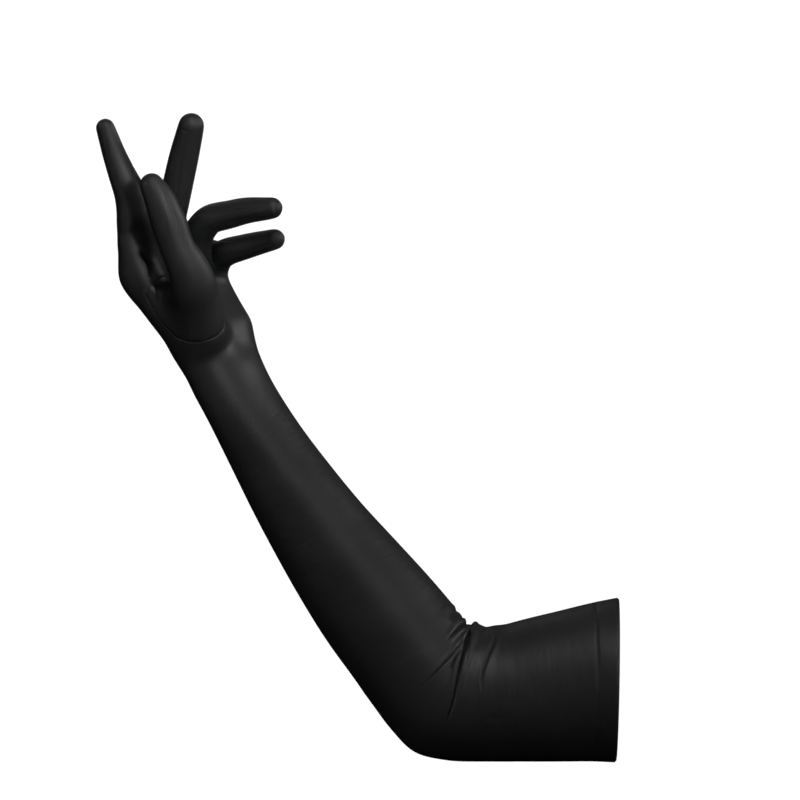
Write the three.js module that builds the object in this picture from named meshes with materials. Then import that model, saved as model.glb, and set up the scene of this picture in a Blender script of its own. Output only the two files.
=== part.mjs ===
// A long evening glove of stretch satin for the left hand, in the shape it has on a bent arm.
// Millimetres. The origin is the middle of the arm opening, +X points out of the opening, +Z is up,
// and -Y is the thumb side.

import * as THREE from 'three';

// Driving dimensions, in millimetres and degrees
const CLOTH = 1.1;
const BODY_GAP = 0.2;
const STRIP_GAP = 0.45;
const HEM_DEPTH = 11;
const HEM_PROUD = 0.2;
const HEM_THICK = 2.2;
const WRIST = new THREE.Vector3(-235.9, 0, 192.9);
const HAND_RISE = 122;
const PALM_TURN = 35;

// How finely the surface is divided
const FINGER_COLUMNS = 4;
const FINGERS_WIDE = 4 * FINGER_COLUMNS;
const SIDES = 2 * FINGERS_WIDE + 4;
const ULNAR_EDGE = SIDES / 2;
const FINGER_SIDES = 12;
const FAR_SIDE = FINGER_SIDES / 2;
const STRIP_ANGLE = 34;
const STRIP_END_ANGLE = 15;
const METACARPAL_ROWS = 9;
const KNUCKLE_ROWS = 3;
const FINGER_RINGS = 9;
const THUMB_RINGS = 9;
const THUMB_ROOT_RINGS = 3;
const CAP_TILTS = [32, 62];

// The thumb is set into an opening on the thumb side of the palm
const THUMB_OPENING = { columns: 6, dorsalColumn: 0, firstRow: 4, lastRow: 8 };

// Sections of the sleeve from the opening to the wrist: the middle, the direction of the inner side of
// the bend from +X, the half sizes towards the palm and towards the thumb, and the turn of the palm
const SLEEVE = [
  { name: 'opening', x: 0, z: 0, lean: 89, palm: 47.5, thumb: 44, turn: 0 },
  { name: 'upper_arm_low', x: -15, z: -1.4, lean: 91, palm: 45.6, thumb: 42.5, turn: 0 },
  { name: 'upper_arm', x: -30, z: -3.4, lean: 92, palm: 43.7, thumb: 41, turn: 0 },
  { name: 'above_elbow', x: -50, z: -5.9, lean: 93, palm: 41.3, thumb: 39, turn: 0 },
  { name: 'elbow_start', x: -68, z: -8, lean: 93, palm: 39.2, thumb: 37.5, turn: 0 },
  { name: 'crease', x: -83, z: -7.5, lean: 90, palm: 39.6, thumb: 37, turn: 0 },
  { name: 'crease_end', x: -92.6, z: -7, lean: 78, palm: 40, thumb: 37, turn: 0 },
  { name: 'elbow_point', x: -102, z: -4.8, lean: 66, palm: 40.1, thumb: 36.5, turn: 0 },
  { name: 'elbow_round', x: -109.2, z: 1.9, lean: 54, palm: 37.8, thumb: 36, turn: 0 },
  { name: 'below_elbow', x: -114.8, z: 9.3, lean: 42, palm: 36.3, thumb: 35.5, turn: 0 },
  { name: 'forearm_top', x: -120.1, z: 16.6, lean: 31, palm: 36.1, thumb: 35, turn: 0 },
  { name: 'forearm_widest', x: -139.1, z: 40.9, lean: 29.7, palm: 34.9, thumb: 33.5, turn: 0 },
  { name: 'forearm_upper', x: -157.4, z: 65, lean: 29.7, palm: 32.1, thumb: 31.5, turn: 7 },
  { name: 'forearm_middle', x: -175.2, z: 89.4, lean: 29.7, palm: 28.5, thumb: 29, turn: 14 },
  { name: 'forearm_lower', x: -191.8, z: 114.4, lean: 29.7, palm: 25.2, thumb: 27, turn: 21 },
  { name: 'above_wrist', x: -207.5, z: 140, lean: 29.7, palm: 21.5, thumb: 26, turn: 28 },
  { name: 'wrist_narrow', x: -222.2, z: 166.2, lean: 30, palm: 18.4, thumb: 26.3, turn: 33 },
  { name: 'wrist', x: -228.9, z: 179.6, lean: 31, palm: 18.5, thumb: 26.8, turn: 35 },
];

// Where the rings of the sleeve lie, by how far apart they are along it
const SLEEVE_SPANS = [
  { name: 'hem', rings: 2, length: HEM_DEPTH },
  { name: 'upper_arm', rings: 5, length: 50 },
  { name: 'elbow', rings: 14, length: 70 },
  { name: 'forearm', rings: 18, length: Infinity },
];

// Folds at the inner side of the elbow: start and end along the sleeve and round it from the thumb side
// towards the palm side, the half width, and the depth, which is negative for a ridge
const FOLDS = [
  { name: 'forearm_side', fromAlong: 112, fromAngle: 90, toAlong: 132, toAngle: 62, width: 5, depth: 1.5 },
  { name: 'slanting', fromAlong: 107, fromAngle: 84, toAlong: 124, toAngle: 38, width: 4.5, depth: 1.6 },
  { name: 'main', fromAlong: 99, fromAngle: 60, toAlong: 96, toAngle: -20, width: 5, depth: 2.4 },
  { name: 'soft_roll', fromAlong: 88, fromAngle: 58, toAlong: 87, toAngle: 0, width: 5, depth: -1.1 },
  { name: 'upper_arm_side', fromAlong: 70, fromAngle: 55, toAlong: 79, toAngle: 10, width: 5, depth: 1.4 },
  { name: 'upper_arm_soft', fromAlong: 74, fromAngle: 88, toAlong: 82, toAngle: 44, width: 5, depth: 1.1 },
  { name: 'far_main', fromAlong: 99, fromAngle: 112, toAlong: 98, toAngle: 150, width: 5, depth: 1.8 },
  { name: 'far_slanting', fromAlong: 108, fromAngle: 98, toAlong: 122, toAngle: 140, width: 5, depth: 1.3 },
];
const FOLD_END = 12;

// Fingers: the knuckle in hand axes (distal, palmar, radial), the lengths of the three joints to the
// middle of the tip, their bend from the back of the hand, their sway to the thumb side, and the radii
const FINGERS = [
  {
    name: 'index', knuckle: [62, 2.2, 24.5], lengths: [47, 27, 16.5], bends: [31.7, 15.8, 19.3],
    sways: [2, 4, 4], radii: [9.5, 8.6, 6, 4.7], web: 22, roll: 10,
  },
  {
    name: 'middle', knuckle: [62.3, 2.9, 4], lengths: [42.5, 29, 20], bends: [53.7, 51.2, 52],
    sways: [2, 0, 0], radii: [9.5, 8.2, 7.8, 6.8], web: 21, roll: 24,
  },
  {
    name: 'ring', knuckle: [57.5, 2.5, -15], lengths: [40.5, 26, 18.6], bends: [76, 105.5, 113],
    sways: [9.5, 0, 0], radii: [9, 8, 6.9, 5.5], web: 20, roll: 36,
  },
  {
    name: 'little', knuckle: [48, 2.2, -32], lengths: [33, 18.5, 14.8], bends: [94, 104.5, 106],
    sways: [21, 0, 0], radii: [8.4, 7.2, 6.2, 5.2], web: 18, roll: 58,
  },
];

// The thumb's joints in hand axes, with the radius at each
const THUMB = [
  { name: 'root', at: [14, 14, 18], radius: 15 },
  { name: 'thenar', at: [31, 28.5, 27], radius: 14.3 },
  { name: 'knuckle', at: [48, 40.6, 34.4], radius: 11.4 },
  { name: 'shaft', at: [61.8, 44, 37.3], radius: 9.3 },
  { name: 'joint', at: [78, 49.4, 38.1], radius: 9.4 },
  { name: 'pad', at: [91, 52.7, 38.9], radius: 8.2 },
  { name: 'tip', at: [100.2, 53.9, 39.9], radius: 6.2 },
];
const THUMB_FREE_FROM = 0.26;

// The rounded forms that the cloth of the palm is stretched over, in hand axes
const PALM_FORMS = [
  { name: 'wrist_thumb_side', from: [-20, 0, 8.5], to: [6, 1, 9], radii: [17.4, 15.2] },
  { name: 'wrist_little_side', from: [-20, 0, -8.5], to: [6, 1, -9], radii: [17.4, 16] },
  { name: 'index_ray', from: [6, 0.5, 12], to: [60, 2.2, 25], radii: [12.9, 11.8] },
  { name: 'middle_ray', from: [6, 1, 3], to: [61, 2.9, 4], radii: [13, 10.8] },
  { name: 'ring_ray', from: [6, 1, -6], to: [56, 2.5, -15], radii: [13, 10.4] },
  { name: 'little_ray', from: [6, 2, -13], to: [47, 2.2, -30.5], radii: [12.5, 8.5] },
  { name: 'heel', from: [-5, 3.4, -15], to: [32, 4, -24], radii: [13.6, 9.5] },
  { name: 'thenar', from: [14, 13, 17], to: [48, 40.6, 34.4], radii: [14, 11] },
  { name: 'thumb_web', from: [30, 8, 22], to: [44, 26, 30], radii: [8, 6] },
];

// How the cloth is stretched over them, and how it turns from the palm into the fingers
const FINGER_ROOT = { radius: 10, reach: 14 };
const WEB_FORM = { back: 6, radius: 5.5 };
const ROLL = { from: 20, reach: 20 };
const PALM_SHARE = 0.62;
const BLEND = 9;
const RELAX_ROUNDS = 24;
const FLATTEST_SLOPE = 0.25;
const FREEDOM = { finger: 0.3, thumb: 0.7, wristRows: 3 };
const SHARPEST = 0.22;
const PROBE = 0.05;
const FAR_AWAY = 1000;

// Colours and gloss of the cloth
const SATIN = { color: 0x0b0b0d, roughness: 0.42, metalness: 0 };

const radians = THREE.MathUtils.degToRad;
const lerp = THREE.MathUtils.lerp;

// Hand axes: distal along the hand, palmar out of the palm, radial to the thumb side
function handAxes() {
  const distal = new THREE.Vector3(Math.cos(radians(HAND_RISE)), 0, Math.sin(radians(HAND_RISE)));
  const inPlane = new THREE.Vector3(Math.sin(radians(HAND_RISE)), 0, -Math.cos(radians(HAND_RISE)));
  const near = new THREE.Vector3(0, -1, 0);
  const palmar = inPlane.clone().multiplyScalar(Math.cos(radians(PALM_TURN)));
  palmar.addScaledVector(near, Math.sin(radians(PALM_TURN)));
  const radial = inPlane.multiplyScalar(-Math.sin(radians(PALM_TURN)));
  radial.addScaledVector(near, Math.cos(radians(PALM_TURN)));
  return { distal, palmar, radial };
}

const HAND = handAxes();

function handDirection([distal, palmar, radial]) {
  const direction = HAND.distal.clone().multiplyScalar(distal);
  direction.addScaledVector(HAND.palmar, palmar);
  return direction.addScaledVector(HAND.radial, radial);
}

function handPoint(place) {
  return handDirection(place).add(WRIST);
}

// A named column of a table as a smooth function of the distance along it
function column(distances, values) {
  const slope = (i) => {
    const before = Math.max(i - 1, 0);
    const after = Math.min(i + 1, values.length - 1);
    return (values[after] - values[before]) / (distances[after] - distances[before]);
  };
  return (distance) => {
    let i = 0;
    while (i < distances.length - 2 && distance > distances[i + 1]) i += 1;
    const span = distances[i + 1] - distances[i];
    const t = THREE.MathUtils.clamp((distance - distances[i]) / span, 0, 1);
    const rise = values[i + 1] - values[i];
    const a = slope(i) * span - rise;
    const b = rise - slope(i + 1) * span;
    return values[i] + t * rise + t * (1 - t) * (a * (1 - t) + b * t);
  };
}

function distancesAlong(points) {
  const distances = [0];
  for (let i = 1; i < points.length; i += 1) {
    distances.push(distances[i - 1] + points[i].distanceTo(points[i - 1]));
  }
  return distances;
}

// The sleeve's section at a distance from the opening, as a function from an angle to a point. The angle
// runs from the thumb side over the back of the arm
function sleeveSections() {
  const middles = SLEEVE.map((row) => new THREE.Vector3(row.x, 0, row.z));
  const distances = distancesAlong(middles);
  const values = {};
  for (const name of ['x', 'z', 'lean', 'palm', 'thumb', 'turn']) {
    values[name] = column(distances, SLEEVE.map((row) => row[name]));
  }
  const length = distances[distances.length - 1];
  const ring = (along) => {
    const lean = radians(values.lean(along));
    const turn = radians(values.turn(along));
    const inner = new THREE.Vector3(Math.cos(lean), 0, Math.sin(lean));
    const near = new THREE.Vector3(0, -1, 0);
    const palmar = inner.clone().multiplyScalar(Math.cos(turn)).addScaledVector(near, Math.sin(turn));
    const radial = inner.clone().multiplyScalar(-Math.sin(turn)).addScaledVector(near, Math.cos(turn));
    const middle = new THREE.Vector3(values.x(along), 0, values.z(along));
    return (angle) => {
      const sink = foldDepth(along, angle);
      const point = middle.clone();
      point.addScaledVector(radial, (values.thumb(along) - sink) * Math.cos(angle));
      return point.addScaledVector(palmar, -(values.palm(along) - sink) * Math.sin(angle));
    };
  };
  return { ring, length };
}

// How far the folds sink the cloth at a place on the sleeve
function foldDepth(along, angle) {
  let depth = 0;
  const around = -THREE.MathUtils.radToDeg(Math.atan2(Math.sin(angle), Math.cos(angle)));
  for (const fold of FOLDS) {
    const reach = (around - fold.fromAngle) / (fold.toAngle - fold.fromAngle);
    const t = THREE.MathUtils.clamp(reach, 0, 1);
    const middle = lerp(fold.fromAlong, fold.toAlong, t);
    const across = (along - middle) / fold.width;
    const past = (around - lerp(fold.fromAngle, fold.toAngle, t)) / FOLD_END;
    depth += fold.depth * Math.exp(-across * across - past * past);
  }
  return depth;
}

// A surface is a list of points with quads and triangles between them, each in a named piece
const surface = { points: [], freedom: [], faces: [] };

function addPoint(point, freedom = 0) {
  surface.points.push(point);
  surface.freedom.push(freedom);
  return surface.points.length - 1;
}

function addFace(piece, ...corners) {
  surface.faces.push({ piece, corners });
}

// Joins two closed rings of the same length with a band of quads
function addBand(lower, upper, pieceOf) {
  for (let i = 0; i < lower.length; i += 1) {
    const next = (i + 1) % lower.length;
    addFace(pieceOf(i), lower[i], lower[next], upper[next], upper[i]);
  }
}

function addTip(ring, pole, piece) {
  ring.forEach((corner, i) => addFace(piece, corner, ring[(i + 1) % ring.length], pole));
}

// The sleeve's rings from the opening to the wrist
function buildSleeve() {
  const { ring, length } = sleeveSections();
  const addRing = (along) => {
    const pointAt = ring(along);
    const corners = [];
    for (let side = 0; side < SIDES; side += 1) {
      corners.push(addPoint(pointAt((2 * Math.PI * side) / SIDES)));
    }
    return corners;
  };
  let along = 0;
  let previous = addRing(along);
  for (const span of SLEEVE_SPANS) {
    const end = Math.min(along + span.length, length);
    const step = (end - along) / span.rings;
    for (let i = 0; i < span.rings; i += 1) {
      along += step;
      const next = addRing(along);
      addBand(previous, next, () => (span.name === 'hem' ? 'hem_band' : 'glove_body'));
      previous = next;
    }
  }
  return previous;
}

// A finger's joints, from a place in the palm through the knuckle to the middle of the tip
function fingerJoints(finger) {
  const palm = finger.knuckle.map((part) => part * PALM_SHARE);
  const joints = [handPoint(finger.knuckle)];
  finger.lengths.forEach((length, i) => {
    const bend = radians(finger.bends[i]);
    const sway = radians(finger.sways[i]);
    const direction = handDirection([
      Math.cos(sway) * Math.cos(bend), Math.cos(sway) * Math.sin(bend), Math.sin(sway),
    ]);
    joints.push(joints[i].clone().addScaledVector(direction, length));
  });
  return [handPoint(palm), ...joints];
}

function fingerTube(finger) {
  return limb(fingerJoints(finger), [finger.radii[0], ...finger.radii], radians(finger.roll));
}

// A tube along joints, with a smooth middle line and radius, and axes that follow the bend and are
// rolled near the root, where a bent finger's side turns to its neighbour
function limb(joints, radii, roll = 0) {
  const stations = [joints[0]];
  const sizes = [radii[0]];
  for (let i = 1; i < joints.length; i += 1) {
    stations.push(joints[i - 1].clone().lerp(joints[i], 0.5), joints[i]);
    sizes.push((radii[i - 1] + radii[i]) / 2, radii[i]);
  }
  const distances = distancesAlong(stations);
  const axes = ['x', 'y', 'z'].map((axis) => column(distances, stations.map((point) => point[axis])));
  const radiusAt = column(distances, sizes);
  const length = distances[distances.length - 1];
  const knuckle = distances[2];
  const middle = (along) => new THREE.Vector3(axes[0](along), axes[1](along), axes[2](along));
  const frame = (along) => {
    const low = Math.max(along - 1, 0);
    const high = Math.min(along + 1, length);
    const forward = middle(high).sub(middle(low)).normalize();
    const side = HAND.radial.clone().addScaledVector(forward, -HAND.radial.dot(forward)).normalize();
    const palmar = forward.clone().cross(side);
    return { forward, side, palmar };
  };
  // A point on the tube, the angle running from the thumb side over the back
  const point = (along, unrolled, tilt = 0) => {
    const { forward, side, palmar } = frame(along);
    const radius = radiusAt(along);
    const past = (along - knuckle - ROLL.from) / ROLL.reach;
    const angle = unrolled + roll * Math.exp(-past * past);
    const place = middle(along).addScaledVector(forward, radius * Math.sin(tilt));
    place.addScaledVector(side, radius * Math.cos(tilt) * Math.cos(angle));
    return place.addScaledVector(palmar, -radius * Math.cos(tilt) * Math.sin(angle));
  };
  const pole = () => middle(length).addScaledVector(frame(length).forward, radiusAt(length));
  return { point, pole, middle, frame, radiusAt, length, knuckle };
}

// Angles of a finger's twelve sides: two strips at each side for the strips between fingers, four
// columns over the back and four on the palm side
function fingerAngle(side, toTip = 0) {
  const strip = lerp(STRIP_ANGLE, STRIP_END_ANGLE, toTip * toTip);
  const columnAngle = (180 - 2 * strip) / FINGER_COLUMNS;
  const half = side % FAR_SIDE;
  const turn = side >= FAR_SIDE ? 180 : 0;
  return radians(turn + (half === 0 ? 0 : strip + (half - 1) * columnAngle));
}

// Columns of the palm's ring: 0 is the thumb side edge, then the back, the far edge and the palm
function dorsalColumn(column) {
  return 1 + column;
}

function palmarColumn(column) {
  return SIDES - 1 - column;
}

// A ring over all four fingers at their own distances, with neighbours' shared points averaged. It
// gives the closed ring round the hand and the three points in the webs
function knuckleRing(limbs, alongs) {
  const ring = Array.from({ length: SIDES }, () => []);
  const webs = [[], [], []];
  limbs.forEach((finger, i) => {
    for (let side = 0; side < FINGER_SIDES; side += 1) {
      const place = finger.point(alongs[i], fingerAngle(side));
      const first = i * FINGER_COLUMNS;
      if (side === 0) (i === 0 ? ring[0] : webs[i - 1]).push(place);
      else if (side < FAR_SIDE) ring[dorsalColumn(first + side - 1)].push(place);
      else if (side === FAR_SIDE) (i === 3 ? ring[ULNAR_EDGE] : webs[i]).push(place);
      else ring[palmarColumn(first + FINGER_SIDES - 1 - side)].push(place);
    }
  });
  const average = (places) => {
    const sum = places.reduce((total, place) => total.add(place), new THREE.Vector3());
    return sum.divideScalar(places.length);
  };
  return { ring: ring.map(average), webs: webs.map(average) };
}

function inThumbOpening(row, side) {
  const column = (THUMB_OPENING.dorsalColumn - side + SIDES) % SIDES;
  const insideRows = row >= THUMB_OPENING.firstRow && row < THUMB_OPENING.lastRow;
  return insideRows && column >= 1 && column <= THUMB_OPENING.columns;
}

// The palm and back of the hand, from the wrist's ring to the roots of the fingers
function buildPalm(wristRing, limbs) {
  const knuckles = knuckleRing(limbs, limbs.map((tube) => tube.knuckle));
  const roots = knuckleRing(limbs, limbs.map((tube, i) => tube.knuckle + FINGERS[i].web));
  const rows = [wristRing];
  const rowCount = METACARPAL_ROWS + KNUCKLE_ROWS;
  for (let row = 1; row <= rowCount; row += 1) {
    const corners = [];
    for (let side = 0; side < SIDES; side += 1) {
      const start = surface.points[wristRing[side]];
      const place = row <= METACARPAL_ROWS
        ? start.clone().lerp(knuckles.ring[side], row / METACARPAL_ROWS)
        : knuckles.ring[side].clone().lerp(roots.ring[side], (row - METACARPAL_ROWS) / KNUCKLE_ROWS);
      corners.push(addPoint(place, Math.min(1, row / FREEDOM.wristRows)));
    }
    rows.push(corners);
  }
  for (let row = 0; row < rowCount; row += 1) {
    for (let side = 0; side < SIDES; side += 1) {
      const next = (side + 1) % SIDES;
      if (inThumbOpening(row, side)) continue;
      addFace('glove_body', rows[row][side], rows[row][next], rows[row + 1][next], rows[row + 1][side]);
    }
  }
  const webs = roots.webs.map((place) => addPoint(place, 1));
  return { rows, webs };
}

// A finger's root ring out of the palm's last row and the web points beside it
function rootRing(i, lastRow, webs) {
  const ring = [];
  const first = i * FINGER_COLUMNS;
  for (let side = 0; side < FINGER_SIDES; side += 1) {
    if (side === 0) ring.push(i === 0 ? lastRow[0] : webs[i - 1]);
    else if (side < FAR_SIDE) ring.push(lastRow[dorsalColumn(first + side - 1)]);
    else if (side === FAR_SIDE) ring.push(i === 3 ? lastRow[ULNAR_EDGE] : webs[i]);
    else ring.push(lastRow[palmarColumn(first + FINGER_SIDES - 1 - side)]);
  }
  return ring;
}

const STRIP_NAMES = ['fourchette_index_middle', 'fourchette_middle_ring', 'fourchette_ring_little'];

// The piece that a finger's column belongs to: the strips are the two columns beside each web
function fingerPiece(i, side) {
  if ((side === 0 || side === FINGER_SIDES - 1) && i > 0) return STRIP_NAMES[i - 1];
  if ((side === FAR_SIDE - 1 || side === FAR_SIDE) && i < 3) return STRIP_NAMES[i];
  return 'glove_body';
}

function buildFinger(i, tube, root) {
  let previous = root;
  const web = tube.knuckle + FINGERS[i].web;
  for (let ring = 1; ring <= FINGER_RINGS; ring += 1) {
    const along = lerp(web, tube.length, ring / FINGER_RINGS);
    const freedom = ring === 1 ? FREEDOM.finger : 0;
    const toTip = ring / FINGER_RINGS;
    const corners = root.map((_, side) => addPoint(tube.point(along, fingerAngle(side, toTip)), freedom));
    addBand(previous, corners, (side) => fingerPiece(i, side));
    previous = corners;
  }
  for (const tilt of CAP_TILTS) {
    const corners = root.map((_, side) => {
      return addPoint(tube.point(tube.length, fingerAngle(side, 1), radians(tilt)));
    });
    addBand(previous, corners, () => 'glove_body');
    previous = corners;
  }
  addTip(previous, addPoint(tube.pole()), 'glove_body');
}

// The edge of the thumb's opening, in order round it
function thumbOpeningLoop(rows) {
  const { columns, dorsalColumn: first, firstRow, lastRow } = THUMB_OPENING;
  const side = (column) => (first - column + SIDES) % SIDES;
  const loop = [];
  for (let column = 0; column < columns; column += 1) loop.push(rows[firstRow][side(column)]);
  for (let row = firstRow; row < lastRow; row += 1) loop.push(rows[row][side(columns)]);
  for (let column = columns; column > 0; column -= 1) loop.push(rows[lastRow][side(column)]);
  for (let row = lastRow; row > firstRow; row -= 1) loop.push(rows[row][side(0)]);
  return loop.reverse();
}

function buildThumb(rows) {
  const joints = THUMB.map((joint) => handPoint(joint.at));
  const tube = limb(joints, THUMB.map((joint) => joint.radius));
  const loop = thumbOpeningLoop(rows);
  const start = tube.length * THUMB_FREE_FROM;
  const { side, palmar } = tube.frame(start);
  const middle = tube.middle(start);
  const twist = new THREE.Vector2();
  loop.forEach((corner, k) => {
    const arm = surface.points[corner].clone().sub(middle);
    const angle = Math.atan2(-arm.dot(palmar), arm.dot(side)) - (2 * Math.PI * k) / loop.length;
    twist.add(new THREE.Vector2(Math.cos(angle), Math.sin(angle)));
  });
  const angleOf = (k) => twist.angle() + (2 * Math.PI * k) / loop.length;
  let previous = loop;
  for (let ring = 1; ring <= THUMB_ROOT_RINGS; ring += 1) {
    const t = ring / (THUMB_ROOT_RINGS + 1);
    const corners = loop.map((corner, k) => {
      const place = surface.points[corner].clone().lerp(tube.point(start, angleOf(k)), t);
      return addPoint(place, 1);
    });
    addBand(previous, corners, () => 'thumb');
    previous = corners;
  }
  for (let ring = 0; ring <= THUMB_RINGS; ring += 1) {
    const along = lerp(start, tube.length, ring / THUMB_RINGS);
    const freedom = ring === 0 ? FREEDOM.thumb : 0;
    const corners = loop.map((_, k) => addPoint(tube.point(along, angleOf(k)), freedom));
    addBand(previous, corners, () => 'thumb');
    previous = corners;
  }
  for (const tilt of CAP_TILTS) {
    const corners = loop.map((_, k) => addPoint(tube.point(tube.length, angleOf(k), radians(tilt))));
    addBand(previous, corners, () => 'thumb');
    previous = corners;
  }
  addTip(previous, addPoint(tube.pole()), 'thumb');
}

// The rounded forms that the palm's cloth lies on, and the distance of a point from them
function palmField(limbs) {
  const forms = PALM_FORMS.map(({ from, to, radii }) => {
    return { from: handPoint(from), to: handPoint(to), radii };
  });
  limbs.forEach((tube, i) => {
    const end = tube.knuckle + FINGERS[i].web + FINGER_ROOT.reach;
    const radii = [FINGER_ROOT.radius, tube.radiusAt(end)];
    forms.push({ from: tube.middle(tube.knuckle), to: tube.middle(end), radii });
  });
  const inWeb = (i) => limbs[i].middle(limbs[i].knuckle + FINGERS[i].web - WEB_FORM.back);
  for (let i = 0; i < 3; i += 1) {
    forms.push({ from: inWeb(i), to: inWeb(i + 1), radii: [WEB_FORM.radius, WEB_FORM.radius] });
  }
  const arm = new THREE.Vector3();
  const axis = new THREE.Vector3();
  const toForm = (point, { from, to, radii }) => {
    axis.copy(to).sub(from);
    arm.copy(point).sub(from);
    const t = THREE.MathUtils.clamp(arm.dot(axis) / axis.lengthSq(), 0, 1);
    return arm.addScaledVector(axis, -t).length() - lerp(radii[0], radii[1], t);
  };
  return (point) => forms.reduce((nearest, form) => {
    const distance = toForm(point, form);
    const blend = Math.max(BLEND - Math.abs(nearest - distance), 0) / BLEND;
    return Math.min(nearest, distance) - (blend * blend * BLEND) / 4;
  }, FAR_AWAY);
}

function ontoField(point, field) {
  const probe = new THREE.Vector3();
  for (let round = 0; round < 2; round += 1) {
    const here = field(point);
    const slope = new THREE.Vector3();
    for (const axis of ['x', 'y', 'z']) {
      probe.copy(point);
      probe[axis] += PROBE;
      slope[axis] = (field(probe) - here) / PROBE;
    }
    point.addScaledVector(slope, -here / Math.max(slope.lengthSq(), FLATTEST_SLOPE));
  }
}

// Evens out the free points as stretched cloth does, and keeps them on the rounded forms
function relax(field) {
  const neighbours = surface.points.map(() => new Set());
  for (const { corners } of surface.faces) {
    corners.forEach((corner, i) => {
      const next = corners[(i + 1) % corners.length];
      neighbours[corner].add(next);
      neighbours[next].add(corner);
    });
  }
  const homes = surface.points;
  for (let round = 0; round < RELAX_ROUNDS; round += 1) {
    const moved = surface.points.map((point, i) => {
      if (surface.freedom[i] === 0) return point;
      const average = new THREE.Vector3();
      neighbours[i].forEach((other) => average.add(surface.points[other]));
      average.divideScalar(neighbours[i].size);
      const target = point.clone().lerp(average, 0.5);
      ontoField(target, field);
      return homes[i].clone().lerp(target, surface.freedom[i]);
    });
    surface.points = moved;
  }
}

function pointNormals() {
  const normals = surface.points.map(() => new THREE.Vector3());
  for (const { corners } of surface.faces) {
    const [a, b, c] = corners.map((corner) => surface.points[corner]);
    const last = surface.points[corners[corners.length - 1]];
    const normal = c.clone().sub(a).cross(last.clone().sub(b));
    corners.forEach((corner) => normals[corner].add(normal));
  }
  return normals.map((normal) => normal.normalize());
}

// The edges of a piece that only one of its faces has, as corner pairs in the face's order
function openEdges(faces) {
  const edges = new Map();
  for (const { corners } of faces) {
    corners.forEach((corner, i) => {
      const next = corners[(i + 1) % corners.length];
      const back = `${next}_${corner}`;
      if (edges.has(back)) edges.delete(back);
      else edges.set(`${corner}_${next}`, [corner, next]);
    });
  }
  return [...edges.values()];
}

// Pulls the points on a piece's edge back into the piece, along its own cloth
function pullBack(faces, edges, distance) {
  const onEdge = new Set(edges.flat());
  const inward = new Map([...onEdge].map((corner) => [corner, new THREE.Vector3()]));
  for (const { corners } of faces) {
    const middle = new THREE.Vector3();
    corners.forEach((corner) => middle.add(surface.points[corner]));
    middle.divideScalar(corners.length);
    for (const corner of corners) {
      if (onEdge.has(corner)) inward.get(corner).add(middle.clone().sub(surface.points[corner]));
    }
  }
  const along = new Map([...onEdge].map((corner) => [corner, new THREE.Vector3()]));
  for (const [from, to] of edges) {
    const way = surface.points[to].clone().sub(surface.points[from]).normalize();
    along.get(from).add(way);
    along.get(to).add(way);
  }
  const moves = new Map();
  for (const corner of onEdge) {
    const straightness = Math.max(along.get(corner).length() / 2, SHARPEST);
    const way = along.get(corner).normalize();
    const move = inward.get(corner);
    move.addScaledVector(way, -move.dot(way)).setLength(distance / straightness);
    moves.set(corner, move);
  }
  return moves;
}

// A quad as two triangles along its shorter diagonal
function splitFace(corners) {
  if (corners.length === 3) return [[...corners]];
  const [a, b, c, d] = corners;
  const [pa, pb, pc, pd] = corners.map((corner) => surface.points[corner]);
  if (pa.distanceTo(pc) <= pb.distanceTo(pd)) return [[a, b, c], [a, c, d]];
  return [[a, b, d], [b, c, d]];
}

// A piece as a closed wall: the outer cloth, the inner cloth and the turned edges between them
function wall(pieceName, normals, { proud, thick, gap }) {
  const faces = surface.faces.filter(({ piece }) => piece === pieceName);
  const edges = openEdges(faces);
  const moves = pullBack(faces, edges, gap);
  const index = new Map();
  const places = [];
  const vertex = (corner, inner) => {
    const key = 2 * corner + (inner ? 1 : 0);
    if (!index.has(key)) {
      const place = surface.points[corner].clone();
      place.addScaledVector(normals[corner], inner ? proud - thick : proud);
      if (moves.has(corner)) place.add(moves.get(corner));
      index.set(key, places.length / 3);
      places.push(place.x, place.y, place.z);
    }
    return index.get(key);
  };
  const triangles = [];
  for (const { corners } of faces) {
    for (const fan of splitFace(corners)) {
      triangles.push(...fan.map((corner) => vertex(corner, false)));
      triangles.push(...fan.reverse().map((corner) => vertex(corner, true)));
    }
  }
  for (const [from, to] of edges) {
    triangles.push(vertex(to, false), vertex(from, false), vertex(from, true));
    triangles.push(vertex(to, false), vertex(from, true), vertex(to, true));
  }
  const geometry = new THREE.BufferGeometry();
  geometry.setAttribute('position', new THREE.Float32BufferAttribute(places, 3));
  geometry.setIndex(triangles);
  geometry.computeVertexNormals();
  const mesh = new THREE.Mesh(geometry, new THREE.MeshStandardMaterial(SATIN));
  mesh.name = pieceName;
  return mesh;
}

function buildGlove() {
  const limbs = FINGERS.map(fingerTube);
  const wristRing = buildSleeve();
  const { rows, webs } = buildPalm(wristRing, limbs);
  limbs.forEach((tube, i) => buildFinger(i, tube, rootRing(i, rows[rows.length - 1], webs)));
  buildThumb(rows);
  relax(palmField(limbs));
  const normals = pointNormals();
  const glove = new THREE.Group();
  glove.name = 'long_glove';
  const layer = { proud: 0, thick: CLOTH, gap: BODY_GAP };
  glove.add(wall('glove_body', normals, layer));
  glove.add(wall('thumb', normals, layer));
  STRIP_NAMES.forEach((name) => glove.add(wall(name, normals, { ...layer, gap: STRIP_GAP })));
  glove.add(wall('hem_band', normals, { proud: HEM_PROUD, thick: HEM_THICK, gap: BODY_GAP }));
  return glove;
}

export default buildGlove();
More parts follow.
